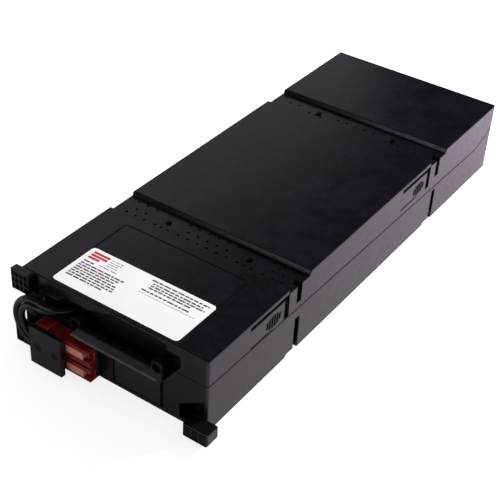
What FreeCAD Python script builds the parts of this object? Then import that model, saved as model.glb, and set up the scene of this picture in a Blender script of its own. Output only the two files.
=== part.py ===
import FreeCAD, Part
import math
import os

# UPS battery cartridge. Millimetres, +Z up, the front with the handle and the connector faces -Y.
# The origin is the middle of the case's underside.

V = FreeCAD.Vector

# Case: three sections in a row, each with its own block of batteries
case_width = 212.0
case_height = 85.0
front_length = 137.0
middle_length = 269.5
rear_length = 141.0
section_gap = 7.5
wall = 2.5
case_length = front_length + middle_length + rear_length + 2 * section_gap

# Rounding of the case
edge_round = 1.2
bottom_round = 1.2
side_top_round = 2.0
side_bottom_round = 3.0
rear_round = 8.0
corner_round = 2.5

# Parting line between the tray and the cover, as heights
seam_front = 56.0
seam_low = 43.0
seam_jog = 51.0
seam_rear = 56.0
seam_low_back = 42.0
seam_jog_back = 12.0
seam_rise_back = 6.0
seam_groove = 0.6
seam_groove_depth = 0.8

# Troughs across the cover between the sections
trough_depth = 5.0
lip_back = 14.0
foot_run = 13.0
crest_run = 15.0

# Slots in the sides between the sections, above and below a flush bridge
slot_depth = 8.0
bridge_low_drop = 44.0
bridge_high_drop = 25.0
notch_run = 15.5
notch_slope = 4.5
notch_height = 5.0
toe = 3.0

# Vent holes in the trough floors
vent_diameter = 2.5
front_vent_rows = ((9.0, (5.7, 17.1, 28.5, 41.0, 49.0, 57.0, 70.0, 81.0, 92.0)),
                   (18.3, (0.0, 11.4, 22.8, 75.4, 86.8)),
                   (29.5, (5.7, 17.1, 28.5, 70.0, 81.4, 92.8)))
rear_vent_rows = ((14.0, (42.5, 49.5, 57.0)),
                  (21.0, (0.0, 11.4, 22.8, 75.4, 86.8)))

# Snap tabs in the sides of the cover
tab_start_back = 75.0
tab_end_back = 20.5
tab_low = 56.0
tab_high = 76.5
tab_slot = 3.5
tab_end_slot = 7.0
tab_low_slot = 1.0
tab_low_slot_length = 34.0
tab_leg_low = 54.0
grip_back = 38.5
grip_height = 64.5
grip_length = 24.0
grip_tall = 13.0
grip_ribs = 6
grip_depth = 1.2
tongue_thickness = 2.0
tongue_top = 73.0
tongue_start_back = 66.0
tongue_end_back = 12.0

# Front opening: places from the left side, heights up from the bottom or down from the top
opening_left = 27.8
opening_shoulder = 44.8
opening_shoulder_drop = 19.5
opening_left_top_drop = 11.5
opening_left_top_at = 50.4
opening_rise_start = 80.8
opening_rise_end = 106.8
opening_top_drop = 2.7
opening_top_end = 153.8
opening_notch_at = 167.8
opening_notch_drop = 10.0
opening_right = 182.8
opening_right_low_drop = 22.0
opening_throat = 164.3
opening_throat_height = 37.5
opening_sill = 5.0

# Slot beside the upper lug: left and right, and its ends down from the top
side_slot_left = 10.8
side_slot_right = 20.8
side_slot_low_drop = 23.0
side_slot_high_drop = 3.0

# Catch window round the right lug: distances in from the right side, and heights
window_left_in = 29.5
window_step_in = 16.0
window_right_in = 3.5
window_low = 5.5
window_step_height = 13.0
window_left_height = 21.0
window_right_height = 37.0

# Bulkhead behind the opening
recess_depth = 16.5
bulkhead_thickness = 2.5
bulkhead_play = 0.6
fit = 0.3
bracket_gap = 1.5

# Handle
handle_left = 68.8
handle_right = 166.0
handle_notch_left = 150.5
handle_nose = 3.5
handle_reach = 12.8
handle_top = 49.0
handle_thickness = 3.0
handle_round = 1.3
grip_groove_places = (3.2, 9.4)
grip_groove_width = 0.8
grip_groove_depth = 0.6
lug_width = 12.0
lug_depth = 7.5
lug_recess_depth = 5.0
lug_recess_radius = 4.9
lug_left = 56.8
lug_right = 150.8
lug_low = 34.0
lug_high = 55.0
skirt_left = 108.5
skirt_right = 161.2
skirt_low = 5.4
flange_reach = 10.0
flange_thickness = 2.0
web_thickness = 2.5

# Screws: diameter of shank, head diameter, head height, length
handle_screw = (4.0, 8.0, 2.6, 14.0)
plate_screw = (3.0, 6.4, 1.6, 12.0)
cover_screw = (3.0, 6.0, 1.8, 14.0)
screw_play = 0.1
handle_screw_height = 47.5
boss_radius = 4.0
cover_screw_offset = 48.0
cover_screw_back = 19.5
cover_boss_radius = 3.5

# Corner lugs: ribbed pads that stand in front of the case and past its sides
lug_pad_out = 6.7
lug_pad_in = 15.5
upper_lug_height = 22.0
lower_lug_low = 0.5
lower_lug_high = 23.0
left_lug_reach = 8.4
right_lug_in = 15.2
right_lug_out = 12.0
right_lug_low = 4.5
right_lug_high = 18.5
right_lug_reach = 15.5
lug_round = 1.5
lug_side_round = 2.5
pocket_rib = 1.3
pocket_depth = 2.2
peg_size = 5.0
left_peg_in = 2.8
upper_peg_drop = 13.5
lower_peg_height = 9.5
right_peg_in = 14.0
right_peg_height = 5.4

# Label
label_left = 33.0
label_front = 4.3
label_width = 142.6
label_length = 58.2
label_round = 4.0
label_thickness = 0.25
outline_length = 104.7
outline_groove = 1.0
outline_depth = 0.5

# Connector
connector_left = 45.8
connector_length = 47.7
connector_width = 35.0
connector_thickness = 16.0
connector_low = 6.0
connector_off = 0.5
connector_round = 1.2
channel_length = 28.0
channel_depth = 7.5
channel_width = 8.2
channel_margin = 3.9
carrier_length = 19.5
carrier_play = 0.1
carrier_sink = 0.5
contact_thickness = 1.5
contact_width = 6.4
contact_gap = 1.0
contact_back = 3.5
middle_slot_width = 3.6
middle_slot_depth = 3.0

# Hood behind the connector, and the plate that clamps it
hood_left = 28.5
hood_low = 5.6
hood_high = 45.5
hood_reach = 20.0
hood_round = 5.0
plate_right = 66.8
plate_low = 2.8
plate_high = 46.0
plate_thickness = 4.5
plate_round = 1.2
plate_screw_places = (38.3, 58.5)
plate_screw_height = 24.7

# Bracket that holds the connector
bracket_thickness = 3.0
bracket_high = 49.0
bracket_end_reach = 6.9
bracket_end_thickness = 1.4
bracket_end_low = 8.0
bracket_end_high = 39.5

# Battery leads
lead_diameter = 6.5
lead_offset = 12.0
lead_loop_across = 29.7
lead_loop_height = 39.0
lead_loop_radii = (28.4, 21.8)
lead_exit = (59.8, 50.8)
lead_exit_radius = 21.0
lead_exit_drop = 4.5
lead_inner_y = 28.5
lead_inner_radius = 8.0
lead_socket = 9.0
lead_gap = 0.7
lead_over_drop = 10.0
lead_rise_run = 13.0
lead_play = 0.15
grommet_wall = 2.0
grommet_flange = 1.5
grommet_lip = 1.2

# Batteries: sealed blocks lying on their long side, terminals to the front
battery_spacing = 3.0
battery_side_room = 14.5
battery_end_room = 3.5
foam_thickness = 10.0
battery_round = 1.5
row_one = 32.5
row_two_in = 10.0
row_three_in = 7.0
row_four_in = 12.5
lid_groove = 0.6
lid_length = 12.0

# Terminals and series jumpers
tab_width = 6.3
tab_thickness = 0.8
tab_length = 6.0
terminal_inset = 12.0
terminal_drop = 12.5
socket_width = 9.0
socket_height = 8.0
socket_depth = 5.4
socket_play = 0.1
jumper_diameter = 4.5
jumper_off = 3.0
jumper_low_drop = 13.5
jumper_high_drop = 8.0
jumper_channel = 7.5
jumper_rise = 10.0
jumper_radius = 5.0
jumper_tight = 4.0

# Ribs of the tray and the foam over the batteries
rib_thickness = 2.0
rib_height = 8.0
side_rib_height = 22.0
foam_in = 30.0
foam_length = 20.0
foam_side = 20.0


# ---------------------------------------------------------------- places

def at_x(across):
    """The x of a place so far from the case's left side."""
    return across - case_width / 2


def at_y(behind):
    """The y of a place so far behind the case's front face."""
    return behind - case_length / 2


front_end = front_length
middle_start = front_end + section_gap
middle_end = middle_start + middle_length
rear_start = middle_end + section_gap
gaps = ((front_end, middle_start), (middle_end, rear_start))
ceiling = case_height - wall
bridge_low = case_height - bridge_low_drop
bridge_high = case_height - bridge_high_drop
opening_shoulder_height = case_height - opening_shoulder_drop
opening_left_top = case_height - opening_left_top_drop
opening_top = case_height - opening_top_drop
opening_notch_height = case_height - opening_notch_drop
opening_right_low = case_height - opening_right_low_drop
upper_lug = (-lug_pad_out, lug_pad_in, case_height - upper_lug_height, case_height,
             left_lug_reach)
lower_lug = (-lug_pad_out, lug_pad_in, lower_lug_low, lower_lug_high, left_lug_reach)
right_lug = (case_width - right_lug_in, case_width + right_lug_out, right_lug_low,
             right_lug_high, right_lug_reach)
peg_corners = ((left_peg_in, case_height - upper_peg_drop), (left_peg_in, lower_peg_height),
               (case_width - right_peg_in, right_peg_height))
battery_width = (case_width - battery_spacing) / 2 - battery_side_room
battery_height = case_height - 2 * wall - foam_thickness
battery_length = front_length - row_one - battery_end_room
terminal_height = wall + battery_height - terminal_drop
jumper_low = terminal_height - jumper_low_drop
jumper_high = terminal_height - jumper_high_drop
jumper_over = terminal_height + jumper_rise
lead_over = case_height - lead_over_drop
connector_right = connector_left + connector_length
connector_high = connector_low + connector_width
connector_front = -connector_off - connector_thickness
hood_front = -hood_reach
row_starts = (row_one, middle_start + row_two_in,
              middle_end - row_three_in - battery_length, rear_start + row_four_in)
column_left = (case_width / 2 - battery_spacing / 2 - battery_width,
               case_width / 2 + battery_spacing / 2)
handle_low = handle_top - handle_thickness
screw_places = (lug_left + lug_width / 2, lug_right + lug_width / 2)


# ---------------------------------------------------------------- shapes

def block(left, right, front, back, low, high):
    """A box, placed from the case's left side, front face and underside."""
    corner = V(at_x(left), at_y(front), low)
    return Part.makeBox(right - left, back - front, high - low, corner)


def rod(start, direction, length, radius):
    """A cylinder from start, a place like block's corners."""
    base = V(at_x(start[0]), at_y(start[1]), start[2])
    return Part.makeCylinder(radius, length, base, direction)


def fused(shapes):
    """One solid from shapes that touch or overlap."""
    result = shapes[0]
    if len(shapes) > 1:
        result = shapes[0].multiFuse(shapes[1:])
    return result.removeSplitter()


def without(shape, tools):
    """The shape with every tool cut away."""
    return shape.cut(Part.makeCompound(tools))


def rounded_edges(corners):
    """Edges through flat corners (u, v, radius), each corner rounded."""
    count = len(corners)
    entries = []
    exits = []
    arcs = []
    for index in range(count):
        u, v, radius = corners[index]
        corner = V(u, v, 0)
        before = corners[index - 1]
        after = corners[(index + 1) % count]
        back = (V(before[0], before[1], 0) - corner).normalize()
        ahead = (V(after[0], after[1], 0) - corner).normalize()
        half = back.getAngle(ahead) / 2
        reach = radius / math.tan(half)
        entries.append(corner + back * reach)
        exits.append(corner + ahead * reach)
        if radius > 0:
            inward = (back + ahead).normalize()
            middle = corner + inward * (radius / math.sin(half) - radius)
            arcs.append(Part.Arc(entries[-1], middle, exits[-1]).toShape())
        else:
            arcs.append(None)
    edges = []
    for index in range(count):
        if arcs[index]:
            edges.append(arcs[index])
        following = entries[(index + 1) % count]
        if exits[index].distanceToPoint(following) > 1e-6:
            edges.append(Part.LineSegment(exits[index], following).toShape())
    return edges


def flat_face(corners):
    """A face in the u, v plane with rounded corners."""
    return Part.Face(Part.Wire(Part.__sortEdges__(rounded_edges(corners))))


def side_prism(corners, left, right):
    """Corners (behind the front, height, radius) drawn out from left to right."""
    face = flat_face(corners)
    turn = FreeCAD.Matrix(0, 0, 1, at_x(left), 1, 0, 0, at_y(0), 0, 1, 0, 0)
    return face.transformed(turn).extrude(V(right - left, 0, 0))


def front_prism(corners, front, back):
    """Corners (across, height, radius) drawn out from front to back."""
    face = flat_face(corners)
    turn = FreeCAD.Matrix(1, 0, 0, at_x(0), 0, 0, 1, at_y(front), 0, 1, 0, 0)
    return face.transformed(turn).extrude(V(0, back - front, 0))


def top_prism(corners, low, high):
    """Corners (across, behind the front, radius) drawn out upwards."""
    face = flat_face(corners)
    face.translate(V(at_x(0), at_y(0), low))
    return face.extrude(V(0, 0, high - low))


def rectangle(left, right, low, high, radius):
    """The corners of a rectangle with one radius."""
    return [(left, low, radius), (right, low, radius), (right, high, radius), (left, high, radius)]


def corner_of(place):
    """A place from the case's left side, front face and underside, as a point."""
    return V(at_x(place[0]), at_y(place[1]), place[2])


def route(places, radii):
    """Straight runs through the places, joined by tangent arcs of the given radii."""
    points = [corner_of(place) for place in places]
    edges = []
    last = points[0]
    for index in range(1, len(points) - 1):
        back = (points[index - 1] - points[index]).normalize()
        ahead = (points[index + 1] - points[index]).normalize()
        half = back.getAngle(ahead) / 2
        radius = radii[index - 1]
        entry = points[index] + back * (radius / math.tan(half))
        leave = points[index] + ahead * (radius / math.tan(half))
        inward = (back + ahead).normalize()
        middle = points[index] + inward * (radius / math.sin(half) - radius)
        if last.distanceToPoint(entry) > 1e-6:
            edges.append(Part.LineSegment(last, entry).toShape())
        edges.append(Part.Arc(entry, middle, leave).toShape())
        last = leave
    if last.distanceToPoint(points[-1]) > 1e-6:
        edges.append(Part.LineSegment(last, points[-1]).toShape())
    return edges


def tube(name, places, radii, diameter):
    """A wire or lead of one diameter along a route; prints its length and bends."""
    edges = route(places, radii)
    path = Part.Wire(edges)
    heading = edges[0].tangentAt(edges[0].FirstParameter)
    ring = Part.Wire(Part.makeCircle(diameter / 2, corner_of(places[0]), heading))
    solid = path.makePipeShell([ring], True, False)
    expected = math.pi * (diameter / 2) ** 2 * path.Length
    print(name, "length", round(path.Length, 1), "radii", [round(bend, 1) for bend in radii],
          "volume ratio", round(solid.Volume / expected, 4))
    return solid


def screw(start, direction, sizes):
    """A pan-head screw: head behind start, shank ahead of it along direction."""
    shank_diameter, head_diameter, head_height, length = sizes
    shank = rod(start, direction, length, shank_diameter / 2)
    base = corner_of(start)
    head = Part.makeCylinder(head_diameter / 2, head_height, base, direction * -1)
    crown = [edge for edge in head.Edges
             if abs((edge.CenterOfMass - base).dot(direction) + head_height) < 1e-6]
    head = head.makeFillet(head_height * 0.45, crown)
    slots = []
    across = V(0, 0, 1) if abs(direction.z) < 0.5 else V(0, 1, 0)
    other = direction.cross(across)
    arm = head_diameter * 0.3
    thin = head_diameter * 0.07
    top = base - direction * head_height
    for long_way, short_way in ((across, other), (other, across)):
        corner = top - long_way * arm - short_way * thin
        slots.append(bar(corner, long_way * arm * 2, short_way * thin * 2,
                         direction * (head_height * 0.5)))
    return fused([shank, without(head, slots)])


def bar(corner, first, second, third):
    """A box from its corner and three edge vectors."""
    outline = Part.makePolygon([corner, corner + first, corner + first + second,
                                corner + second, corner])
    return Part.Face(outline).extrude(third)


# ---------------------------------------------------------------- case

def side_corners(inset):
    """The case seen from the side, moved inwards by inset."""
    low = inset
    high = case_height - inset
    floor = case_height - trough_depth - inset
    edge = max(edge_round - inset, 0)
    corners = [(inset, low, max(bottom_round - inset, 0)),
               (case_length - inset, low, max(rear_round - inset, 0)),
               (case_length - inset, high, edge)]
    for end, start in reversed(gaps):
        corners += [(start + crest_run + inset, high, edge / 2),
                    (start + foot_run + inset, floor, 0),
                    (end - lip_back - inset, floor, 0),
                    (end - lip_back - inset, high, edge / 2)]
    corners.append((inset, high, edge))
    return corners


def case_block(inset):
    """The solid form of the whole case, moved inwards by inset."""
    side = side_prism(side_corners(inset), inset, case_width - inset)
    low_edge = max(side_bottom_round - inset, 0)
    high_edge = max(side_top_round - inset, 0)
    front = [(inset, inset, low_edge), (case_width - inset, inset, low_edge),
             (case_width - inset, case_height - inset, high_edge),
             (inset, case_height - inset, high_edge)]
    plan = rectangle(inset, case_width - inset, inset, case_length - inset,
                     max(corner_round - inset, 0))
    tall = front_prism(front, inset, case_length - inset)
    deep = top_prism(plan, inset, case_height - inset)
    return side.common(tall).common(deep)


def slot_outlines(grow):
    """Side slots between the sections, low and high, moved outwards by grow."""
    outlines = []
    for end, start in gaps:
        outlines.append([(end - notch_run - grow - 1, -1 - grow, 0),
                         (end - notch_run + notch_slope - grow, notch_height + grow, 0),
                         (end - grow, notch_height + grow, 0),
                         (end - grow, bridge_low + grow, 0),
                         (start + grow, bridge_low + grow, 0),
                         (start + grow, notch_height + grow, 0),
                         (start + toe + grow, -1 - grow, 0)])
        outlines.append([(end - grow, bridge_high - grow, 0),
                         (start + grow, bridge_high - grow, 0),
                         (start + grow, case_height + grow, 0),
                         (end - grow, case_height + grow, 0)])
    return outlines


def side_slots(grow):
    """The side slots as solids, moved outwards by grow: all four on the right, low ones left."""
    depth = slot_depth + grow
    slots = [side_prism(outline, case_width - depth, case_width + 1)
             for outline in slot_outlines(grow)]
    slots += [side_prism(outline, -1, depth) for outline in slot_outlines(grow)[::2]]
    return slots


def seam_line(lift):
    """The parting line seen from the side, moved up by lift."""
    return [(-1, seam_front + lift, 0),
            (case_length - seam_low_back, seam_low + lift, 0),
            (case_length - seam_jog_back, seam_jog + lift, 0),
            (case_length - seam_rise_back, seam_rear + lift, 0),
            (case_length + 1, seam_rear + lift, 0)]


def below_seam():
    """Everything under the parting line."""
    outline = [(-1, -1, 0), (case_length + 1, -1, 0)] + seam_line(0)[::-1]
    return side_prism(outline, -1, case_width + 1)


def seam_ring():
    """The shallow groove that shows along the parting line."""
    outline = seam_line(-seam_groove / 2) + seam_line(seam_groove / 2)[::-1]
    slab = side_prism(outline, -1, case_width + 1)
    return slab.cut(case_block(seam_groove_depth))


def front_opening():
    """The hand opening, with the bays of the connector and the handle under it."""
    corners = [(opening_left, opening_sill, 0.8),
               (opening_throat, opening_sill, 0.8),
               (opening_throat, opening_throat_height, 1.0),
               (opening_right, opening_right_low, 3.0),
               (opening_right, opening_notch_height, 3.0),
               (opening_notch_at, opening_notch_height, 1.0),
               (opening_notch_at, opening_top - 2.0, 1.0),
               (opening_top_end, opening_top, 1.0),
               (opening_rise_end, opening_top, 1.0),
               (opening_rise_start, opening_left_top, 1.0),
               (opening_left_top_at, opening_left_top, 1.0),
               (opening_shoulder, opening_shoulder_height, 1.0),
               (opening_left, opening_shoulder_height, 1.0)]
    return front_prism(corners, -1, wall + 0.5)


def front_windows():
    """The slot beside the upper lug and the catch window round the right lug."""
    left = case_width - window_left_in
    step = case_width - window_step_in
    right = case_width - window_right_in
    window = [(left, window_low, 1.0), (step, window_low, 1.0), (step, window_step_height, 0),
              (right, window_step_height, 1.0), (right, window_right_height, 1.0),
              (left, window_left_height, 1.0)]
    slot = rectangle(side_slot_left, side_slot_right, case_height - side_slot_low_drop,
                     case_height - side_slot_high_drop, 1.0)
    return [front_prism(slot, -1, wall + 0.5), front_prism(window, -1, wall + 0.5)]


def case_shell():
    """The whole hollow case before it is parted."""
    outer = without(case_block(0), side_slots(0))
    cavity = without(case_block(wall), side_slots(wall))
    return without(outer, [cavity, front_opening()] + front_windows() + peg_holes())


def lug_pegs():
    """The pegs that carry the corner lugs: left, right, low, high in the front wall."""
    return [(left, left + peg_size, low, low + peg_size) for left, low in peg_corners]


def peg_holes():
    """Holes in the front wall for the pegs."""
    return [block(left, right, -1, wall + 0.5, low, high)
            for left, right, low, high in lug_pegs()]


def bosses():
    """Where the cover is screwed to the tray: places in both troughs."""
    places = []
    for end, start in gaps:
        for side in (-1, 1):
            places.append((case_width / 2 + side * cover_screw_offset,
                           end - lip_back + cover_screw_back))
    return places


def battery_ribs():
    """Low ribs of the tray round every row of batteries."""
    ribs = []
    reach = battery_spacing / 2 + battery_width
    left = case_width / 2 - reach
    right = case_width / 2 + reach
    for start in row_starts:
        back = start + battery_length
        for front in (start - fit - rib_thickness, back + fit):
            ribs.append(block(left, right, front, front + rib_thickness,
                              wall, wall + rib_height))
        for side in (left - fit - rib_thickness, right + fit):
            ribs.append(block(side, side + rib_thickness, start + rib_height, back - rib_height,
                              wall, wall + side_rib_height))
        half = battery_spacing / 2 - fit
        ribs.append(block(case_width / 2 - half, case_width / 2 + half, start, back,
                          wall, wall + side_rib_height))
    return ribs


def tongues():
    """Flat tongues of the tray that the cover's snap tabs close on."""
    plates = []
    for end in (front_end, middle_end):
        for left in (wall, case_width - wall - tongue_thickness):
            plates.append(block(left, left + tongue_thickness,
                                end - tongue_start_back, end - tongue_end_back,
                                seam_low - 12, tongue_top))
    return plates


def bottom_tray(shell, lower, groove):
    """The lower half of the case with its ribs, screw bosses and tongues."""
    parts = [shell.common(lower)]
    parts += battery_ribs()
    parts += tongues()
    for across, behind in bosses():
        parts.append(rod((across, behind, wall), V(0, 0, 1),
                         case_height - trough_depth - 2 * wall, cover_boss_radius))
    tray = fused(parts)
    tools = [groove]
    hole = cover_screw[0] / 2 + screw_play
    for across, behind in bosses():
        top = case_height - trough_depth - wall
        tools.append(rod((across, behind, top), V(0, 0, -1), cover_screw[3], hole))
    return without(tray, tools)


def vent_holes():
    """Round vents through the trough floors, the same on both sides of the middle."""
    top = case_height - trough_depth + 1
    holes = []
    for end, rows in ((front_end, front_vent_rows), (middle_end, rear_vent_rows)):
        for back, offsets in rows:
            for across in sorted({side * offset for offset in offsets for side in (-1, 1)}):
                place = (case_width / 2 + across, end - lip_back + back, top)
                holes.append(rod(place, V(0, 0, -1), wall + 2, vent_diameter / 2))
    return holes


def tab_cuts():
    """Slots round the snap tabs and the ribbed finger grips on them."""
    cuts = []
    for end in (front_end, middle_end):
        start = end - tab_start_back
        stop = end - tab_end_back
        for left, right in ((-1, wall + 0.2), (case_width - wall - 0.2, case_width + 1)):
            cuts.append(block(left, right, start, stop + tab_end_slot,
                              tab_high, tab_high + tab_slot))
            cuts.append(block(left, right, stop, stop + tab_end_slot,
                              tab_leg_low, tab_high + tab_slot))
            cuts.append(block(left, right, start, start + tab_low_slot_length,
                              tab_low - tab_low_slot, tab_low))
        cuts += grip_cuts(end - grip_back)
    return cuts


def grip_cuts(centre):
    """Upright finger grooves that fill an oval on each side's tab."""
    cuts = []
    pitch = grip_length / grip_ribs
    for index in range(grip_ribs):
        along = (index + 0.5) * pitch - grip_length / 2
        tall = grip_tall * math.sqrt(1 - (2 * along / grip_length) ** 2)
        for left, right in ((-1, grip_depth), (case_width - grip_depth, case_width + 1)):
            cuts.append(block(left, right, centre + along - pitch * 0.3,
                              centre + along + pitch * 0.3,
                              grip_height - tall / 2, grip_height + tall / 2))
    return cuts


def label_outline():
    """The shallow sunk line round the label's field."""
    right = label_left + label_width
    back = label_front + outline_length
    outer = top_prism(rectangle(label_left - outline_groove, right + outline_groove,
                                label_front - outline_groove, back + outline_groove,
                                label_round),
                      case_height - outline_depth, case_height + 1)
    inner = top_prism(rectangle(label_left, right, label_front, back,
                                label_round - outline_groove),
                      case_height - outline_depth - 1, case_height + 2)
    return outer.cut(inner)


def top_cover(shell, lower, groove):
    """The upper half of the case with its troughs, vents and snap tabs."""
    cover = shell.cut(lower)
    tools = [groove, label_outline()]
    tools += vent_holes()
    tools += tab_cuts()
    hole = cover_screw[0] / 2 + screw_play
    for across, behind in bosses():
        tools.append(rod((across, behind, case_height), V(0, 0, -1), case_height / 2, hole))
    return without(cover, tools)


# ---------------------------------------------------------------- front

def bulkhead():
    """The inner wall behind the hand opening, with bosses for the handle's screws."""
    back = recess_depth + bulkhead_thickness
    edge = wall + bulkhead_play
    plate = block(edge, case_width - edge, recess_depth, back, wall, ceiling)
    pillars = []
    holes = [grommet_core(0)]
    for across in screw_places:
        pillars.append(rod((across, lug_depth, handle_screw_height), V(0, 1, 0),
                           recess_depth - lug_depth, boss_radius))
        holes.append(rod((across, lug_recess_depth, handle_screw_height), V(0, 1, 0),
                         handle_screw[3], handle_screw[0] / 2 + screw_play))
    return without(fused([plate] + pillars), holes)


def lead_exit_heights():
    """The heights at which the two leads pass the bulkhead."""
    return [lead_loop_height + radius - lead_exit_drop for radius in lead_loop_radii]


def grommet_box():
    """How far the grommet's body reaches round both leads."""
    margin = lead_diameter / 2 + grommet_wall
    heights = lead_exit_heights()
    return (min(lead_exit) - margin, max(lead_exit) + margin,
            min(heights) - lead_diameter / 2 - grommet_wall / 2, max(heights) + margin)


def grommet_core(play):
    """The grommet's body where it passes the bulkhead."""
    left, right, low, high = grommet_box()
    corners = rectangle(left + grommet_lip, right - grommet_lip, low, high - grommet_lip, 2.0)
    return front_prism(corners, recess_depth - play, recess_depth + bulkhead_thickness + play)


def lead_grommet():
    """Rubber grommet that carries both leads through the bulkhead."""
    left, right, low, high = grommet_box()
    flange = rectangle(left, right, low, high, 3.0)
    back = recess_depth + bulkhead_thickness
    body = fused([grommet_core(0),
                  front_prism(flange, recess_depth - grommet_flange, recess_depth),
                  front_prism(flange, back, back + grommet_flange)])
    holes = []
    for across, height in zip(lead_exit, lead_exit_heights()):
        holes.append(rod((across, 0, height), V(0, 1, 0), 2 * recess_depth,
                         lead_diameter / 2 + lead_play))
    return without(body, holes)


def handle():
    """One moulding: the grip bar, its end lugs, the web and the skirt below."""
    nose = [(-handle_reach, handle_low, handle_round), (0, handle_low, 0),
            (0, handle_top, 0), (-handle_reach, handle_top, handle_round)]
    grip = side_prism(nose, handle_left, handle_right)
    notch = block(handle_notch_left, handle_right + 1, -handle_reach + handle_nose, 1,
                  handle_low - 1, handle_top + 1)
    grip = grip.cut(notch)
    web = block(lug_left, lug_right + lug_width, 0, web_thickness, lug_low, handle_top)
    skirt = block(skirt_left, skirt_right, 0, web_thickness, skirt_low, lug_low)
    flange = block(skirt_right - flange_reach, opening_throat + flange_reach,
                   web_thickness, web_thickness + flange_thickness,
                   skirt_low, lug_low + flange_thickness)
    parts = [grip, web, skirt, flange]
    for left in (lug_left, lug_right):
        corners = rectangle(left, left + lug_width, lug_low, lug_high, 2.0)
        parts.append(front_prism(corners, 0, lug_depth))
    body = fused(parts)
    tools = []
    for back in grip_groove_places:
        tools.append(block(handle_left + 2, handle_notch_left - 2, -back - grip_groove_width,
                           -back, handle_top - grip_groove_depth, handle_top + 1))
    for across in screw_places:
        tools.append(rod((across, -1, handle_screw_height), V(0, 1, 0), lug_depth + 2,
                         handle_screw[0] / 2 + screw_play))
        tools.append(rod((across, -1, handle_screw_height), V(0, 1, 0), lug_recess_depth + 1,
                         lug_recess_radius))
    return without(body, tools)


def handle_screws():
    """Pan-head screws through the handle's end lugs."""
    solids = [screw((across, lug_recess_depth, handle_screw_height), V(0, 1, 0), handle_screw)
              for across in screw_places]
    return Part.makeCompound(solids)


def cover_screws():
    """Pan-head screws in the troughs, through the cover into the tray."""
    floor = case_height - trough_depth
    solids = [screw((across, behind, floor), V(0, 0, -1), cover_screw)
              for across, behind in bosses()]
    return Part.makeCompound(solids)


def corner_lug(sizes, peg, columns, rows):
    """A ribbed pad on a front corner of the case, with a peg through the wall."""
    left, right, low, high, reach = sizes
    pad = front_prism(rectangle(left, right, low, high, lug_round), -reach, 0)
    upright = top_prism(rectangle(left, right, -reach, reach, lug_side_round), low, high)
    pad = pad.common(upright)
    pitch_across = (right - left - pocket_rib) / columns
    pitch_up = (high - low - pocket_rib) / rows
    pockets = []
    for column in range(columns):
        for row in range(rows):
            start = left + pocket_rib + column * pitch_across
            bottom = low + pocket_rib + row * pitch_up
            pockets.append(block(start, start + pitch_across - pocket_rib,
                                 -reach - 1, -reach + pocket_depth,
                                 bottom, bottom + pitch_up - pocket_rib))
    pad = without(pad, pockets)
    stem = block(peg[0], peg[1], 0, wall, peg[2], peg[3])
    return fused([pad, stem])


def label():
    """The label on the front section of the cover."""
    corners = rectangle(label_left, label_left + label_width,
                        label_front, label_front + label_length, label_round)
    return top_prism(corners, case_height, case_height + label_thickness)


# ---------------------------------------------------------------- connector

def channel_heights():
    """The low edges of the two contact channels, lower one first."""
    low = connector_low + channel_margin - 1.5
    high = connector_high - channel_margin - channel_width
    return (low, high)


def connector_housing():
    """The two-pole plug: a block with two channels open to the front and the right end."""
    back = -connector_off
    body = block(connector_left, connector_right, connector_front, back,
                 connector_low, connector_high)
    long_edges = [edge for edge in body.Edges
                  if abs(edge.tangentAt(edge.FirstParameter).x) > 0.9]
    body = body.makeFillet(connector_round, long_edges)
    start = connector_right - channel_length
    cuts = []
    for low in channel_heights():
        cuts.append(block(start, connector_right + 1, connector_front - 1,
                          connector_front + channel_depth, low, low + channel_width))
    middle = (connector_low + connector_high) / 2 - 1.0
    cuts.append(block(start - 1.5, connector_right + 1, connector_front - 1,
                      connector_front + middle_slot_depth,
                      middle - middle_slot_width / 2, middle + middle_slot_width / 2))
    cuts.append(plate_screw_hole(plate_screw_places[1]))
    return without(body, cuts)


def contact_carriers():
    """Two pale inner sleeves that fill the channels' closed ends."""
    start = connector_right - channel_length + carrier_play
    solids = []
    for low in channel_heights():
        sleeve = block(start, start + carrier_length, connector_front + carrier_sink,
                       connector_front + channel_depth - carrier_play,
                       low + carrier_play, low + channel_width - carrier_play)
        solids.append(sleeve.cut(contact_box(low, carrier_play)))
    return Part.makeCompound(solids)


def contact_box(low, play):
    """The blade of one contact, grown by play."""
    middle = low + channel_width / 2
    back = connector_front + channel_depth - contact_gap
    left = connector_right - channel_length + carrier_length / 2
    return block(left - play, connector_right - contact_back, back - contact_thickness - play,
                 back + play, middle - contact_width / 2 - play,
                 middle + contact_width / 2 + play)


def contacts():
    """The silvered blades in the channels."""
    return Part.makeCompound([contact_box(low, 0) for low in channel_heights()])


def plate_screw_hole(across):
    """The hole of one of the plate's screws."""
    front = hood_front - plate_thickness
    return rod((across, front - 1, plate_screw_height), V(0, 1, 0),
               plate_screw[3] + plate_screw[2] + 2.5, plate_screw[0] / 2 + screw_play)


def connector_hood():
    """The clamp behind the connector, where both leads enter it."""
    body = block(hood_left, connector_left, hood_front, -connector_off, hood_low, hood_high)
    crown = [edge for edge in body.Edges if edge.BoundBox.ZMin > hood_high - 1
             and edge.CenterOfMass.x < at_x(connector_left) - 1]
    body = body.makeFillet(hood_round, crown)
    holes = [plate_screw_hole(plate_screw_places[0])]
    for radius in lead_loop_radii:
        holes.append(rod((hood_left - 1, -lead_offset, lead_loop_height - radius), V(1, 0, 0),
                         lead_socket + 1, lead_diameter / 2 + lead_play))
    return without(body, holes)


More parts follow.
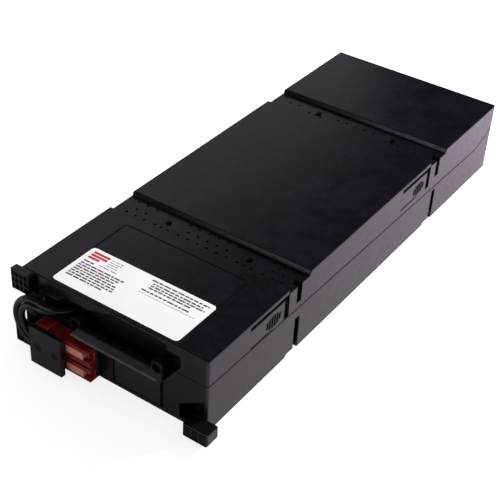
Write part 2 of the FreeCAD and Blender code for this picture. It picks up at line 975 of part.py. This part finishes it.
def cover_plate():
    """The black plate screwed over the hood and the connector's rear end."""
    front = hood_front - plate_thickness
    body = front_prism(rectangle(hood_left, plate_right, plate_low, plate_high, plate_round),
                       front, hood_front)
    spacer = block(connector_left + 7.0, plate_right - 1.5, hood_front, connector_front,
                   connector_low + 6, connector_high - 6)
    holes = []
    for across in plate_screw_places:
        holes.append(plate_screw_hole(across))
        holes.append(rod((across, front - 1, plate_screw_height), V(0, 1, 0),
                         1 + plate_screw[2], plate_screw[1] / 2 + 0.6))
    return without(fused([body, spacer]), holes)


def plate_screws():
    """Pan-head screws of the cover plate, in its counterbores."""
    seat = hood_front - plate_thickness + plate_screw[2]
    solids = [screw((across, seat, plate_screw_height), V(0, 1, 0), plate_screw)
              for across in plate_screw_places]
    return Part.makeCompound(solids)


def connector_bracket():
    """The plate in the front opening that the connector and its hood sit on."""
    front = -connector_off
    back = front + bracket_thickness
    left = opening_left + fit
    right = skirt_left - bracket_gap
    low = skirt_low
    field = block(left, right, front, back, low, lug_low - fit)
    tall = block(left, lug_left - fit, front, back, low, bracket_high)
    flange = block(left - flange_reach, lug_left - fit, back, back + flange_thickness,
                   low, bracket_high)
    end = block(connector_right + 0.2, connector_right + 0.2 + bracket_end_thickness,
                -connector_off - bracket_end_reach, front, bracket_end_low, bracket_end_high)
    end_low = block(connector_right + 0.2, connector_right + 0.2 + bracket_end_thickness,
                    front, back, bracket_end_low, lug_low - fit)
    return fused([field, tall, flange, end, end_low])


# ---------------------------------------------------------------- leads and batteries

def lead_loop(index):
    """The part of a lead outside the case: from the bulkhead round to the hood."""
    across = lead_exit[index]
    radius = lead_loop_radii[index]
    top = lead_loop_height + radius
    bottom = lead_loop_height - radius
    outermost = lead_loop_across - radius
    slope = math.atan2(lead_exit_drop, across - outermost)
    tighter = radius * math.tan(math.pi / 4 - slope / 2)
    places = [(across, -lead_offset, top - lead_exit_drop),
              (outermost, -lead_offset, top),
              (outermost, -lead_offset, bottom),
              (hood_left + lead_socket, -lead_offset, bottom)]
    return places, [lead_exit_radius, tighter, radius]


def outer_lead():
    """Lead from the last battery, over the first one and round the outside of the loop."""
    places, radii = lead_loop(0)
    height = places[0][2]
    end = terminal_across(1, 0)
    inner = [(end, lead_inner_y, terminal_height + socket_height / 2),
             (end, lead_inner_y, lead_over),
             (lead_exit[0] + lead_rise_run, lead_inner_y, lead_over),
             (lead_exit[0], lead_inner_y, height)]
    bends = [lead_inner_radius] * 3
    return tube("outer_lead", inner + places, bends + radii, lead_diameter)


def inner_lead():
    """Lead from the first battery, round the inside of the loop."""
    places, radii = lead_loop(1)
    height = places[0][2]
    start = terminal_across(0, 0) + socket_width / 2 + lead_gap
    inner = [(start, lead_inner_y, terminal_height),
             (lead_exit[1], lead_inner_y, height)]
    return tube("inner_lead", inner + places, [lead_inner_radius] + radii, lead_diameter)


def terminal_across(column, which):
    """How far from the left side a battery's terminal is: which 0 left, 1 right."""
    left = column_left[column]
    return left + (terminal_inset, battery_width - terminal_inset)[which]


def battery(column, row):
    """One sealed block lying on its side, with the joint line of its lid."""
    left = column_left[column]
    start = row_starts[row]
    body = block(left, left + battery_width, start, start + battery_length,
                 wall, wall + battery_height)
    edges = [edge for edge in body.Edges
             if abs(edge.tangentAt(edge.FirstParameter).y) > 0.9]
    body = body.makeFillet(battery_round, edges)
    outer = block(left - 1, left + battery_width + 1, start + lid_length,
                  start + lid_length + lid_groove, wall - 1, wall + battery_height + 1)
    inner = block(left + lid_groove, left + battery_width - lid_groove,
                  start, start + battery_length,
                  wall + lid_groove, wall + battery_height - lid_groove)
    return body.cut(outer.cut(inner))


def terminal_tab(column, row, which, play):
    """One flat terminal blade."""
    centre = terminal_across(column, which)
    start = row_starts[row]
    return block(centre - tab_width / 2 - play, centre + tab_width / 2 + play,
                 start - tab_length - play, start,
                 terminal_height - tab_thickness / 2 - play,
                 terminal_height + tab_thickness / 2 + play)


def every_terminal():
    """Column, row and side of all the terminals."""
    return [(column, row, which) for column in (0, 1) for row in range(len(row_starts))
            for which in (0, 1)]


def battery_terminals():
    """All the terminal blades."""
    return Part.makeCompound([terminal_tab(column, row, which, 0)
                              for column, row, which in every_terminal()])


def jumper_sockets():
    """The insulated flag sockets on the terminals."""
    solids = []
    for column, row, which in every_terminal():
        centre = terminal_across(column, which)
        start = row_starts[row]
        socket = block(centre - socket_width / 2, centre + socket_width / 2,
                       start - tab_length - 0.4, start - tab_length - 0.4 + socket_depth,
                       terminal_height - socket_height / 2, terminal_height + socket_height / 2)
        solids.append(socket.cut(terminal_tab(column, row, which, socket_play)))
    return Part.makeCompound(solids)


def row_jumper(column, row):
    """The jumper from one row to the next, past the gap in the side channel."""
    base = terminal_height - socket_height / 2
    near = row_starts[row] - jumper_off
    far = row_starts[row + 1] - jumper_off
    if column == 0:
        side = jumper_channel
        near_tab = terminal_across(0, 1)
        far_tab = terminal_across(0, 0)
        levels = (jumper_low, jumper_high)
    else:
        side = case_width - jumper_channel
        near_tab = terminal_across(1, 1)
        far_tab = terminal_across(1, 0)
        levels = (jumper_high, jumper_low)
    places = [(near_tab, near, base), (near_tab, near, levels[0]), (side, near, levels[0]),
              (side, far, levels[1]), (far_tab, far, levels[1]), (far_tab, far, base)]
    name = "jumper {} {}".format(column, row)
    return tube(name, places, [jumper_tight, jumper_radius, jumper_radius, jumper_tight],
                jumper_diameter)


def cross_jumper():
    """The jumper across the last row, over its two batteries' terminals."""
    top = terminal_height + socket_height / 2
    last = len(row_starts) - 1
    along = row_starts[last] - jumper_off
    first_tab = terminal_across(0, 1)
    second_tab = terminal_across(1, 1)
    places = [(first_tab, along, top), (first_tab, along, jumper_over),
              (second_tab, along, jumper_over), (second_tab, along, top)]
    return tube("cross jumper", places, [jumper_tight, jumper_tight], jumper_diameter)


def foam_strip(row):
    """A foam strip between a row of batteries and the cover."""
    start = row_starts[row] + foam_in
    return block(foam_side, case_width - foam_side, start, start + foam_length,
                 wall + battery_height, ceiling)


# ---------------------------------------------------------------- build

def build():
    """Every node by name."""
    shell = case_shell()
    lower = below_seam()
    groove = seam_ring()
    nodes = {
        "bottom_tray": bottom_tray(shell, lower, groove),
        "top_cover": top_cover(shell, lower, groove),
        "front_bulkhead": bulkhead(),
        "lead_grommet": lead_grommet(),
        "handle": handle(),
        "handle_screws": handle_screws(),
        "cover_screws": cover_screws(),
        "label": label(),
        "connector_bracket": connector_bracket(),
        "connector_housing": connector_housing(),
        "connector_contact_carriers": contact_carriers(),
        "connector_contacts": contacts(),
        "connector_hood": connector_hood(),
        "connector_cover_plate": cover_plate(),
        "cover_plate_screws": plate_screws(),
        "outer_lead": outer_lead(),
        "inner_lead": inner_lead(),
        "battery_terminals": battery_terminals(),
        "jumper_sockets": jumper_sockets(),
        "cross_jumper": cross_jumper(),
    }
    lugs = zip(("upper_left_lug", "lower_left_lug", "lower_right_lug"),
               (upper_lug, lower_lug, right_lug), lug_pegs(), ((4, 3), (4, 3), (3, 4)))
    for name, sizes, peg, grid in lugs:
        nodes[name] = corner_lug(sizes, peg, grid[0], grid[1])
    for row in range(len(row_starts)):
        nodes["foam_strip_{}".format(row + 1)] = foam_strip(row)
        nodes["left_battery_{}".format(row + 1)] = battery(0, row)
        nodes["right_battery_{}".format(row + 1)] = battery(1, row)
    for row in range(len(row_starts) - 1):
        nodes["left_jumper_{}".format(row + 1)] = row_jumper(0, row)
        nodes["right_jumper_{}".format(row + 1)] = row_jumper(1, row)
    return nodes


os.makedirs("parts", exist_ok=True)
for node, shape in build().items():
    print(node, "solids", len(shape.Solids), "valid", shape.isValid(),
          "volume", round(shape.Volume))
    shape.exportStep("parts/" + node + ".step")
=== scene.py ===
"""Looks of the UPS battery cartridge: materials, printed label, lights and camera, in metres."""
import math
import random

import bmesh
import bpy
from mathutils import Matrix, Vector


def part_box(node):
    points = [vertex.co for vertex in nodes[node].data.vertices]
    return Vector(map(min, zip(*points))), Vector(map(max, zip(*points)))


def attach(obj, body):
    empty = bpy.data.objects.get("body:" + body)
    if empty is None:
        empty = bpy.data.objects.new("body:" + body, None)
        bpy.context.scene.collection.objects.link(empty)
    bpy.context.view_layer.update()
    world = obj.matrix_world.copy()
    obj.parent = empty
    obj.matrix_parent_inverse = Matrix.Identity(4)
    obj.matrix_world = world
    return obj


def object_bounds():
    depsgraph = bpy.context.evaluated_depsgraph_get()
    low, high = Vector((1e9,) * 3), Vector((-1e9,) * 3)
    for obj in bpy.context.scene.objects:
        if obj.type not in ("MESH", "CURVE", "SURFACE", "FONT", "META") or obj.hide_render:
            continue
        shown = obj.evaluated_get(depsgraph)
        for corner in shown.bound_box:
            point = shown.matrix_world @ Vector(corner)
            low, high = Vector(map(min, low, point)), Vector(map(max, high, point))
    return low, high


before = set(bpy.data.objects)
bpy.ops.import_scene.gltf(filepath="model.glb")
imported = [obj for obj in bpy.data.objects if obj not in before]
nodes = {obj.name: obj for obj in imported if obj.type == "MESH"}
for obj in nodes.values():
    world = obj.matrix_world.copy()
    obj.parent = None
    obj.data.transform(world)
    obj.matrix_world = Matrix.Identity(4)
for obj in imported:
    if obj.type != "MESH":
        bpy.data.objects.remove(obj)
cad_low, cad_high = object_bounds()

MM = 0.001
DULL_WIDTH = 1.8 * MM
# Width of the painted highlight along rounded edges.
EDGE_HIGHLIGHT_WIDTH = 0.9 * MM
# Reach and fade of the painted light on the handle's outer part.
LIT_GRIP_REACH = 8 * MM
LIT_GRIP_FADE = 3 * MM


# ---------------------------------------------------------------- materials

def new_material(name):
    """An empty node material with its shader and its output."""
    material = bpy.data.materials.new(name)
    material.use_nodes = True
    tree = material.node_tree
    tree.nodes.clear()
    shader = tree.nodes.new("ShaderNodeBsdfPrincipled")
    output = tree.nodes.new("ShaderNodeOutputMaterial")
    tree.links.new(shader.outputs["BSDF"], output.inputs["Surface"])
    return material, tree, shader


def place_coordinates(tree, stretch=(1, 1, 1)):
    """Object coordinates in metres, stretched along the axes."""
    coordinates = tree.nodes.new("ShaderNodeTexCoord")
    mapping = tree.nodes.new("ShaderNodeMapping")
    mapping.inputs["Scale"].default_value = stretch
    tree.links.new(coordinates.outputs["Object"], mapping.inputs["Vector"])
    return mapping.outputs["Vector"]


def noise(tree, vector, scale, detail=3.0, roughness=0.55):
    """A noise value from 0 to 1, scale in cells for each metre."""
    node = tree.nodes.new("ShaderNodeTexNoise")
    node.inputs["Scale"].default_value = scale
    node.inputs["Detail"].default_value = detail
    node.inputs["Roughness"].default_value = roughness
    tree.links.new(vector, node.inputs["Vector"])
    return node.outputs["Fac"]


def colour_ramp(tree, value, stops):
    """A colour from a value; stops are (place, colour)."""
    ramp = tree.nodes.new("ShaderNodeValToRGB")
    elements = ramp.color_ramp.elements
    while len(elements) < len(stops):
        elements.new(0.5)
    for element, (place, colour) in zip(elements, stops):
        element.position = place
        element.color = (*colour, 1)
    tree.links.new(value, ramp.inputs["Fac"])
    return ramp.outputs["Color"]


def value_range(tree, value, low, high, start=0.3, end=0.7):
    """A value moved from start..end into low..high."""
    node = tree.nodes.new("ShaderNodeMapRange")
    node.inputs["From Min"].default_value = start
    node.inputs["From Max"].default_value = end
    node.inputs["To Min"].default_value = low
    node.inputs["To Max"].default_value = high
    tree.links.new(value, node.inputs["Value"])
    return node.outputs["Result"]


def mix_colours(tree, factor, first, second):
    """The first colour where the factor is 0, the second where it is 1; colours are sockets or values."""
    mix = tree.nodes.new("ShaderNodeMix")
    mix.data_type = "RGBA"
    tree.links.new(factor, mix.inputs["Factor"])
    for socket, colour in ((mix.inputs["A"], first), (mix.inputs["B"], second)):
        if isinstance(colour, tuple):
            socket.default_value = (*colour, 1)
        else:
            tree.links.new(colour, socket)
    return mix.outputs["Result"]


def bump(tree, shader, height, strength, distance):
    """Bump from a height value."""
    node = tree.nodes.new("ShaderNodeBump")
    node.inputs["Strength"].default_value = strength
    node.inputs["Distance"].default_value = distance
    tree.links.new(height, node.inputs["Height"])
    tree.links.new(node.outputs["Normal"], shader.inputs["Normal"])


def edge_mask(tree, radius):
    """A value that is 1 on flat faces and falls towards rounded edges and corners."""
    bevel = tree.nodes.new("ShaderNodeBevel")
    bevel.samples = 6
    bevel.inputs["Radius"].default_value = radius
    face = tree.nodes.new("ShaderNodeNewGeometry")
    likeness = tree.nodes.new("ShaderNodeVectorMath")
    likeness.operation = "DOT_PRODUCT"
    tree.links.new(bevel.outputs["Normal"], likeness.inputs[0])
    tree.links.new(face.outputs["True Normal"], likeness.inputs[1])
    return likeness.outputs["Value"]


def shade(colour, factor):
    """A colour made darker or lighter."""
    return tuple(min(channel * factor, 1.0) for channel in colour)


def moulded_plastic(name, colour, roughness, spread=0.05, grain=1400.0, depth=0.15,
                    mottle=28.0, contrast=0.16, reflection=(1, 1, 1), edge_highlight_colour=None):
    """Moulded plastic with fine grain, soft mottle in colour and gloss, duller edges, and, given an edge
    colour, a painted highlight along rounded edges.
    """
    material, tree, shader = new_material(name)
    shader.inputs["Specular Tint"].default_value = (*reflection, 1)
    vector = place_coordinates(tree)
    patches = noise(tree, vector, mottle, 4.0, 0.6)
    tint = colour_ramp(tree, patches, ((0.3, shade(colour, 1 - contrast)),
                                       (0.7, shade(colour, 1 + contrast))))
    tree.links.new(tint, shader.inputs["Base Color"])
    # Painted highlight: rounded edges are painted paler in the edge colour.
    if edge_highlight_colour:
        painted_edge_highlight = value_range(tree, edge_mask(tree, EDGE_HIGHLIGHT_WIDTH), 1.0, 0.0, 0.85, 0.99)
        tree.links.new(mix_colours(tree, painted_edge_highlight, tint, edge_highlight_colour), shader.inputs["Base Color"])
    gloss = noise(tree, vector, mottle * 4, 3.0)
    rough = value_range(tree, gloss, roughness - spread, roughness + spread)
    dull_edge = value_range(tree, edge_mask(tree, DULL_WIDTH), 0.6, 0.0, 0.95, 1.0)
    duller = tree.nodes.new("ShaderNodeMath")
    duller.operation = "ADD"
    tree.links.new(rough, duller.inputs[0])
    tree.links.new(dull_edge, duller.inputs[1])
    tree.links.new(duller.outputs[0], shader.inputs["Roughness"])
    bump(tree, shader, noise(tree, vector, grain, 2.0), depth, 0.0002)
    return material


def lit_grip_plastic(name, colour, grip_light_colour, roughness):
    """Moulded plastic with painted light on the handle's outer part: the part nearest the front is
    painted paler.
    """
    material = moulded_plastic(name, colour, roughness)
    tree = material.node_tree
    base = tree.nodes["Principled BSDF"].inputs["Base Color"]
    handle_low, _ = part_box("handle")
    split = tree.nodes.new("ShaderNodeSeparateXYZ")
    tree.links.new(place_coordinates(tree), split.inputs[0])
    lit_grip_end = handle_low.y + LIT_GRIP_REACH
    # Painted light: the handle's outer part is painted paler, fading out behind it.
    lit_grip = value_range(tree, split.outputs["Y"], 1.0, 0.0, lit_grip_end, lit_grip_end + LIT_GRIP_FADE)
    painted_grip_light = colour_ramp(tree, noise(tree, place_coordinates(tree), 60.0),
                        ((0.3, shade(grip_light_colour, 0.75)), (0.7, shade(grip_light_colour, 1.2))))
    tree.links.new(mix_colours(tree, lit_grip, base.links[0].from_socket, painted_grip_light), base)
    return material


def plated_metal(name, colour, roughness):
    """Plated metal with fine scratches."""
    material, tree, shader = new_material(name)
    shader.inputs["Metallic"].default_value = 1.0
    vector = place_coordinates(tree, (1, 6, 1))
    streaks = noise(tree, vector, 900.0, 4.0)
    tint = colour_ramp(tree, streaks, ((0.3, shade(colour, 0.8)), (0.7, colour)))
    tree.links.new(tint, shader.inputs["Base Color"])
    rough = value_range(tree, streaks, roughness - 0.08, roughness + 0.1)
    tree.links.new(rough, shader.inputs["Roughness"])
    bump(tree, shader, streaks, 0.1, 0.0001)
    return material


def cable_sheath(name, colour):
    """Black rubber sheath with a soft uneven surface."""
    material, tree, shader = new_material(name)
    vector = place_coordinates(tree)
    patches = noise(tree, vector, 90.0, 4.0)
    tint = colour_ramp(tree, patches, ((0.35, shade(colour, 0.6)), (0.7, shade(colour, 1.5))))
    tree.links.new(tint, shader.inputs["Base Color"])
    rough = value_range(tree, patches, 0.22, 0.36)
    tree.links.new(rough, shader.inputs["Roughness"])
    bump(tree, shader, noise(tree, vector, 320.0, 2.0), 0.35, 0.0006)
    return material


def foam(name, colour):
    """Closed-cell foam."""
    material, tree, shader = new_material(name)
    vector = place_coordinates(tree)
    cells = tree.nodes.new("ShaderNodeTexVoronoi")
    cells.inputs["Scale"].default_value = 700.0
    tree.links.new(vector, cells.inputs["Vector"])
    tint = colour_ramp(tree, cells.outputs["Distance"], ((0.0, shade(colour, 0.5)), (0.6, colour)))
    tree.links.new(tint, shader.inputs["Base Color"])
    shader.inputs["Roughness"].default_value = 0.9
    bump(tree, shader, cells.outputs["Distance"], 0.5, 0.0006)
    return material


violet = (1.0, 0.80, 1.0)
case_black = (0.0042, 0.0038, 0.0062)
MATERIALS = {
    "case": moulded_plastic("case_plastic", case_black, 0.24, contrast=0.35, reflection=violet),
    "inner": moulded_plastic("inner_plastic", (0.0015, 0.0015, 0.002), 0.6),
    # The handle carries painted light on its outer part.
    "handle": lit_grip_plastic("handle_plastic", (0.010, 0.010, 0.013), (0.095, 0.083, 0.095), 0.32),
    # The lug, bracket and red connector plastics carry a painted highlight along their edges.
    "lug": moulded_plastic("lug_plastic", (0.005, 0.005, 0.006), 0.32,
                           edge_highlight_colour=(0.045, 0.043, 0.048)),
    "bracket": moulded_plastic("bracket_plastic", (0.0035, 0.0035, 0.006), 0.34,
                               edge_highlight_colour=(0.03, 0.03, 0.034)),
    "red": moulded_plastic("connector_plastic", (0.20, 0.010, 0.009), 0.22, mottle=70.0,
                           contrast=0.4, edge_highlight_colour=(0.75, 0.10, 0.07)),
    "carrier": moulded_plastic("carrier_plastic", (0.92, 0.34, 0.27), 0.35, mottle=90.0),
    "label": moulded_plastic("label_film", (0.90, 0.90, 0.90), 0.5, depth=0.05,
                             mottle=40.0, contrast=0.02),
    "ink": moulded_plastic("grey_ink", (0.07, 0.07, 0.09), 0.5, mottle=300.0),
    "red_ink": moulded_plastic("red_ink", (0.45, 0.05, 0.06), 0.5, mottle=200.0),
    "steel": plated_metal("black_zinc_steel", (0.05, 0.05, 0.055), 0.28),
    "silver": plated_metal("silver_plate", (0.80, 0.79, 0.77), 0.25),
    "sheath": cable_sheath("lead_sheath", (0.004, 0.005, 0.004)),
    "rubber": moulded_plastic("grommet_rubber", (0.006, 0.006, 0.006), 0.7),
    "battery": moulded_plastic("battery_case", (0.06, 0.06, 0.065), 0.45),
    "nylon": moulded_plastic("socket_nylon", (0.6, 0.6, 0.56), 0.4),
    "foam": foam("closed_cell_foam", (0.05, 0.05, 0.055)),
}

NODE_MATERIALS = {
    "bottom_tray": "case", "top_cover": "case", "front_bulkhead": "inner",
    "lead_grommet": "rubber", "handle": "handle", "handle_screws": "steel",
    "cover_screws": "steel", "cover_plate_screws": "steel", "label": "label",
    "connector_bracket": "bracket", "connector_housing": "red", "connector_hood": "red",
    "connector_contact_carriers": "carrier", "connector_contacts": "silver",
    "connector_cover_plate": "bracket", "outer_lead": "sheath", "inner_lead": "sheath",
    "battery_terminals": "silver", "jumper_sockets": "nylon",
}
NAME_PARTS = {"lug": "lug", "foam": "foam", "battery_": "battery", "jumper": "sheath"}


def material_of(node):
    """The material of a CAD node by its name, or by a part of its name."""
    if node in NODE_MATERIALS:
        return MATERIALS[NODE_MATERIALS[node]]
    for part, material in NAME_PARTS.items():
        if part in node:
            return MATERIALS[material]
    raise ValueError(node)


def dress(node, obj):
    """Gives a CAD node its material."""
    material = material_of(node)
    if not obj.material_slots:
        obj.data.materials.append(material)
    for slot in obj.material_slots:
        slot.material = material


for node_name, node_object in nodes.items():
    dress(node_name, node_object)


# ---------------------------------------------------------------- label print

label_low, label_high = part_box("label")
PRINT_LIFT = 0.04 * MM


def bar_mesh(name, bars, material):
    """Thin printed bars (left, front, width, depth) on the label, as one piece."""
    mesh = bmesh.new()
    for left, front, width, depth in bars:
        low = label_low + Vector((left, front, 0))
        corners = [(low.x, low.y), (low.x + width, low.y),
                   (low.x + width, low.y + depth), (low.x, low.y + depth)]
        base = [mesh.verts.new((x, y, label_high.z)) for x, y in corners]
        top = [mesh.verts.new((x, y, label_high.z + PRINT_LIFT)) for x, y in corners]
        mesh.faces.new(base[::-1])
        mesh.faces.new(top)
        for index in range(4):
            following = (index + 1) % 4
            mesh.faces.new((base[index], base[following], top[following], top[index]))
    data = bpy.data.meshes.new(name)
    mesh.to_mesh(data)
    mesh.free()
    piece = bpy.data.objects.new(name, data)
    bpy.context.collection.objects.link(piece)
    data.materials.append(material)
    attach(piece, "root")


def text_line(dice, left, right, back, height):
    """One line of small print as word-like bars that end at its right end."""
    bars = []
    across = left
    while across < right - 1.2 * MM:
        word = min(dice.uniform(2.5, 8.0) * MM, right - across)
        bars.append((across, back, word, height))
        across += word + 1.0 * MM
    return bars


def text_block(dice, left, right, back, lines, pitch, height):
    """Lines of small print with ragged right ends."""
    bars = []
    for line in range(lines):
        end = right - dice.uniform(0.0, 0.2) * (right - left)
        bars += text_line(dice, left, end, back - line * pitch, height)
    return bars


dice = random.Random(4)
label_depth = label_high.y - label_low.y
label_width = label_high.x - label_low.x
margin = 5 * MM
line_height = 1.8 * MM
line_pitch = 3.4 * MM
small_height = 0.7 * MM
small_pitch = 3.0 * MM
caption_height = 0.9 * MM
rule_height = 0.4 * MM
mark_height = 3.0 * MM
mark_pitch = 4.2 * MM
mark_widths = (19 * MM, 19 * MM, 13 * MM)
head = label_depth - 6 * MM
middle = 0.46 * label_width
column_end = middle - 8 * MM
column_start = middle + 8 * MM
column_right = label_width - margin

grey_bars = text_block(dice, 27 * MM, 42 * MM, head, 4, small_pitch, small_height)
grey_bars += text_line(dice, 22 * MM, 44 * MM, head - 13 * MM, caption_height)
grey_bars += text_line(dice, margin, 17 * MM, head - 15 * MM, line_height)
grey_bars += text_block(dice, margin, column_end, head - 19 * MM, 7, line_pitch, line_height)
grey_bars += text_line(dice, column_start, column_right, head, line_height)
grey_bars += text_block(dice, column_start + 4 * MM, column_right, head - 4 * MM, 3,
                        line_pitch, line_height)
grey_bars += text_line(dice, column_start, label_width - 16 * MM, head - 16 * MM, line_height)
grey_bars.append((column_start, head - 19.5 * MM, label_width - column_end - 23 * MM, rule_height))
bar_mesh("label_grey_print", grey_bars, MATERIALS["ink"])
red_bars = [(margin, head - row * mark_pitch - 1 * MM, width, mark_height)
            for row, width in enumerate(mark_widths)]
bar_mesh("label_red_print", red_bars, MATERIALS["red_ink"])


# ---------------------------------------------------------------- floor, lights, camera

def ray_strength(tree, socket, camera, mirror, diffuse):
    """A strength that camera, mirrored and transmitted, and diffuse rays each see for themselves."""
    path = tree.nodes.new("ShaderNodeLightPath")
    total = None
    for ray, strength in (("Is Camera Ray", camera), ("Is Glossy Ray", mirror),
                          ("Is Transmission Ray", mirror), ("Is Diffuse Ray", diffuse)):
        part = tree.nodes.new("ShaderNodeMath")
        part.operation = "MULTIPLY_ADD"
        part.inputs[1].default_value = strength
        part.inputs[2].default_value = 0.0
        tree.links.new(path.outputs[ray], part.inputs[0])
        if total is not None:
            tree.links.new(total, part.inputs[2])
        total = part.outputs[0]
    tree.links.new(total, socket)


def make_floor():
    """A plain pale floor: white for the camera, dim where plastic mirrors it."""
    bpy.ops.mesh.primitive_plane_add(size=FLOOR_SIZE, location=(0, 0, cad_low.z))
    floor = bpy.context.object
    floor.name = "floor"
    material, tree, shader = new_material("floor_white")
    shader.inputs["Base Color"].default_value = (0.66, 0.66, 0.66, 1)
    shader.inputs["Roughness"].default_value = 1.0
    shader.inputs["Specular IOR Level"].default_value = 0.0
    shader.inputs["Emission Color"].default_value = (1, 1, 1, 1)
    ray_strength(tree, shader.inputs["Emission Strength"], CAMERA_GLOW, MIRROR_GLOW, 0.0)
    floor.data.materials.append(material)


def make_world():
    """White for the camera, dim where plastic mirrors it, and an even fill light."""
    world = bpy.data.worlds.new("studio")
    bpy.context.scene.world = world
    world.use_nodes = True
    tree = world.node_tree
    tree.nodes.clear()
    output = tree.nodes.new("ShaderNodeOutputWorld")
    surroundings = tree.nodes.new("ShaderNodeBackground")
    surroundings.inputs["Color"].default_value = (1, 1, 1, 1)
    ray_strength(tree, surroundings.inputs["Strength"], 1.0, MIRROR_WORLD, WORLD_FILL)
    tree.links.new(surroundings.outputs[0], output.inputs["Surface"])


def area_light(name, place, target, size, power, colour=(1, 1, 1), mirrored=True):
    """A soft square lamp that looks at a target, and that plastic mirrors or not."""
    data = bpy.data.lights.new(name, "AREA")
    data.size = size
    data.energy = power
    data.color = colour
    lamp = bpy.data.objects.new(name, data)
    bpy.context.collection.objects.link(lamp)
    lamp.location = place
    direction = Vector(target) - Vector(place)
    lamp.rotation_mode = "QUATERNION"
    lamp.rotation_quaternion = direction.to_track_quat("-Z", "Y")
    lamp.visible_glossy = mirrored
    return lamp


def panel_light(name, place, target, size, power, colour=(1, 1, 1), mirrored=True):
    """A rectangular lamp that the camera doesn't see."""
    lamp = area_light(name, place, target, size[0], power, colour, mirrored)
    lamp.data.shape = "RECTANGLE"
    lamp.data.size_y = size[1]
    lamp.visible_camera = False


def make_camera(target, distance, angles, lens):
    """The camera from its target, its distance, its azimuth, elevation and roll, and its lens."""
    azimuth, elevation, roll = (math.radians(angle) for angle in angles)
    back = Vector((math.sin(azimuth) * math.cos(elevation),
                   -math.cos(azimuth) * math.cos(elevation), math.sin(elevation)))
    data = bpy.data.cameras.new("camera")
    data.sensor_width = 36.0
    data.lens = lens
    data.clip_start = 0.05
    data.clip_end = 100.0
    camera = bpy.data.objects.new("camera", data)
    bpy.context.collection.objects.link(camera)
    turn = (-back).to_track_quat("-Z", "Y").to_matrix().to_4x4()
    camera.matrix_world = (Matrix.Translation(target + back * distance) @ turn
                           @ Matrix.Rotation(roll, 4, "Z"))
    bpy.context.scene.camera = camera


FLOOR_SIZE = 30.0
CAMERA_GLOW = 0.78
MIRROR_GLOW = 0.02
MIRROR_WORLD = 0.02
WORLD_FILL = 0.30
make_floor()
make_world()
area_light("key_light", (0.91, 1.77, 1.66), (0, 0.05, 0), 0.5, 70,
           colour=(0.98, 1.0, 0.98), mirrored=False)
panel_light("right_rear_light", (0.60, 0.75, 0.45), (0.14, 0.05, 0), (0.25, 0.25), 10,
            colour=(1.0, 0.72, 1.0), mirrored=False)
panel_light("left_panel_light", (-0.60, 0.50, 0.41), (0, 0.50, 0.41), (1.8, 0.82), 1.7)
panel_light("front_fill_light", (-0.35, -1.40, 0.30), (-0.02, -0.28, 0.04), (0.5, 0.3), 1.1)
make_camera(Vector((-0.07915, 0.05902, -0.0823)), 1.33201, (32.741, 36.464, 3.456), 80.41)
scene = bpy.context.scene
scene.view_settings.view_transform = "Standard"
